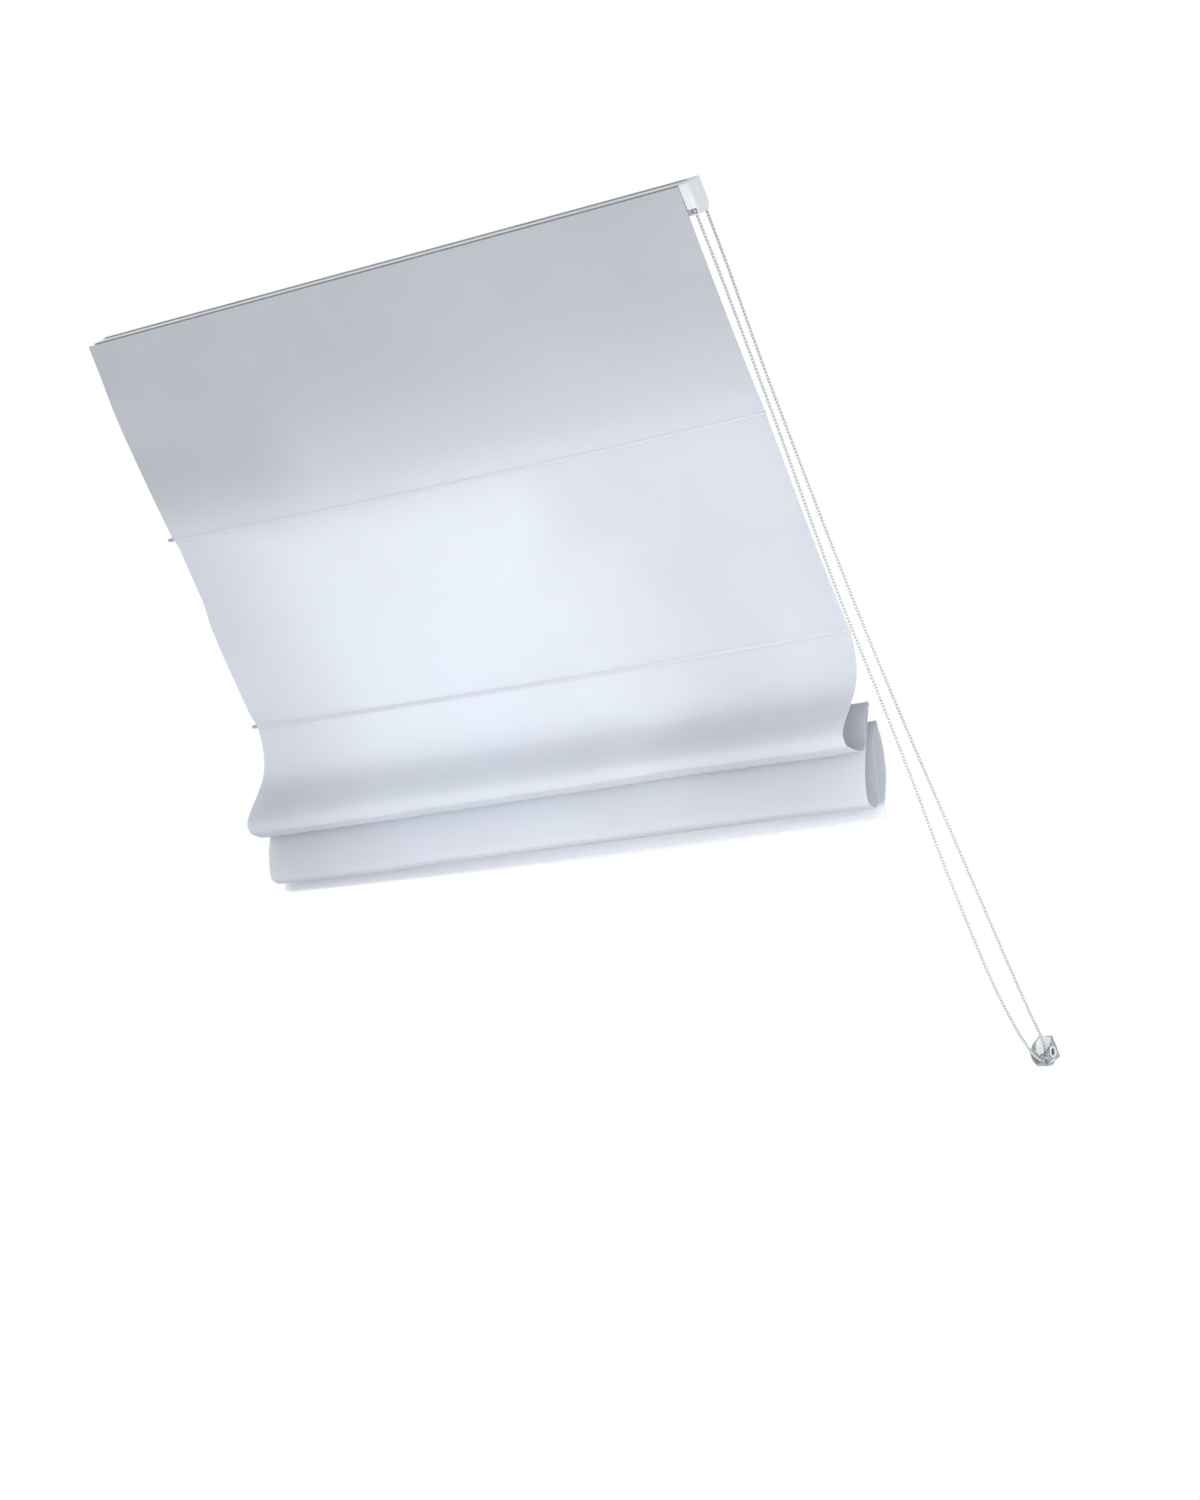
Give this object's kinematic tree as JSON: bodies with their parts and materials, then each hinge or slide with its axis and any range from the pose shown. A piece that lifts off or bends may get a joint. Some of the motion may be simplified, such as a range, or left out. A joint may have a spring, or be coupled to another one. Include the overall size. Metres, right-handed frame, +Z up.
{
  "type": "roof window blind",
  "caption": "Chain-operated Roman blind for a sloping roof window, partly raised, with a headrail, gathering rods, lift cords and an endless bead chain.",
  "frame": {"origin": "on the wall plane at the headrail's rear top edge, halfway along the cloth's width; the wall slopes 54 degrees from level", "axes": "+X along the headrail towards the chain, +Z up, +Y level and towards the sloping wall"},
  "size_m": [1.0589, 0.7343, 0.9947],
  "materials": {
    "cloth": "cool white screen cloth, matt",
    "white_plastic": "white moulded plastic, satin",
    "rail": "satin extrusion",
    "rod": "white glass fibre",
    "tip": "grey moulded plastic",
    "ring": "white moulded plastic",
    "cord": "white braided cord",
    "steel": "zinc plated",
    "spool": "light grey moulded plastic",
    "chain": "white bead chain",
    "clear": "clear moulded plastic",
    "screw": "dark plated steel"
  },
  "bodies": {
    "headrail": {"headrail_profile": "rail", "hook_band": "white_plastic", "left_end_cap": "white_plastic", "shaft_bearing": "white_plastic", "wall_bracket_left": "steel", "wall_bracket_right": "steel", "drive_housing": "white_plastic", "clutch_hub": "white_plastic", "brake_spring": "steel", "spool_cradle_1": "white_plastic", "spool_cradle_2": "white_plastic", "spool_cradle_3": "white_plastic", "chain_loop": "chain", "tensioner_body": "clear", "tensioner_screw": "screw", "lift_cord_1": "cord", "lift_cord_2": "cord", "lift_cord_3": "cord", "panel_1_upper": "cloth"},
    "drive": {"drive_shaft": "steel", "chain_wheel": "white_plastic", "cord_spool_1": "spool", "cord_spool_2": "spool", "cord_spool_3": "spool"},
    "fold_one": {"panel_1_lower": "cloth"},
    "rod_one": {"rod_1": "rod", "rod_tip_1": "tip", "cord_ring_1_1": "ring", "cord_ring_1_2": "ring", "cord_ring_1_3": "ring", "panel_2_upper": "cloth"},
    "fold_two": {"panel_2_lower": "cloth"},
    "rod_two": {"rod_2": "rod", "rod_tip_2": "tip", "cord_ring_2_1": "ring", "cord_ring_2_2": "ring", "cord_ring_2_3": "ring", "panel_3_upper": "cloth"},
    "fold_three": {"panel_3_lower": "cloth"},
    "rod_three": {"rod_3": "rod", "rod_tip_3": "tip", "cord_ring_3_1": "ring", "cord_ring_3_2": "ring", "cord_ring_3_3": "ring", "panel_4_upper": "cloth"},
    "fold_four": {"panel_4_lower": "cloth"},
    "rod_four": {"rod_4": "rod", "rod_tip_4": "tip", "cord_ring_4_1": "ring", "cord_ring_4_2": "ring", "cord_ring_4_3": "ring", "hem_panel": "cloth", "hem_bar": "steel", "hem_cap_left": "white_plastic", "hem_cap_right": "white_plastic"}
  },
  "joints": [
    {"name": "chain_wheel_turn", "type": "hinge", "parent": "headrail", "child": "drive", "pos_m": [0.5073, 0.00025, -0.02331], "axis": [-1, 0, 0], "range_deg": [-1420, 225]},
    {"name": "fold_1_gather", "type": "slide", "parent": "headrail", "child": "fold_one", "axis": [0, -0.9446, -0.3281], "range_m": [0, 0.1008], "deforming": ["panel_1_upper", "panel_1_lower"]},
    {"name": "rod_1_lift", "type": "slide", "parent": "fold_one", "child": "rod_one", "axis": [0, -0.1897, 0.9818], "range_m": [0, 0.2272], "deforming": ["lift_cord_1", "lift_cord_2", "lift_cord_3"]},
    {"name": "fold_2_gather", "type": "slide", "parent": "rod_one", "child": "fold_two", "axis": [0, -0.9446, -0.3281], "range_m": [0, 0.1008], "deforming": ["panel_2_upper", "panel_2_lower"]},
    {"name": "rod_2_lift", "type": "slide", "parent": "fold_two", "child": "rod_two", "axis": [0, -0.1897, 0.9818], "range_m": [0, 0.2272]},
    {"name": "fold_3_gather", "type": "slide", "parent": "rod_two", "child": "fold_three", "axis": [0, -0.903, -0.4296], "range_m": [-0.0893, 0.014], "deforming": ["panel_3_upper", "panel_3_lower"]},
    {"name": "rod_3_lift", "type": "slide", "parent": "fold_three", "child": "rod_three", "axis": [0, -0.2616, 0.9652], "range_m": [-0.1934, 0.03]},
    {"name": "fold_4_gather", "type": "slide", "parent": "rod_three", "child": "fold_four", "axis": [0, -0.9888, -0.1492], "range_m": [-0.0826, 0], "deforming": ["panel_4_upper", "panel_4_lower"]},
    {"name": "rod_4_lift", "type": "slide", "parent": "fold_four", "child": "rod_four", "axis": [0, -0.305, 0.9524], "range_m": [-0.238, 0], "deforming": ["hem_panel"]}
  ],
  "couplings": [
    {"joint": "chain_wheel_turn", "follows": "rod_3_lift", "rad_per_m": 127.7},
    {"joint": "fold_1_gather", "follows": "rod_1_lift", "ratio": 0.44259},
    {"joint": "fold_2_gather", "follows": "rod_2_lift", "ratio": 0.44259},
    {"joint": "fold_3_gather", "follows": "rod_3_lift", "ratio": 0.46089},
    {"joint": "fold_4_gather", "follows": "rod_4_lift", "ratio": 0.34625}
  ]
}
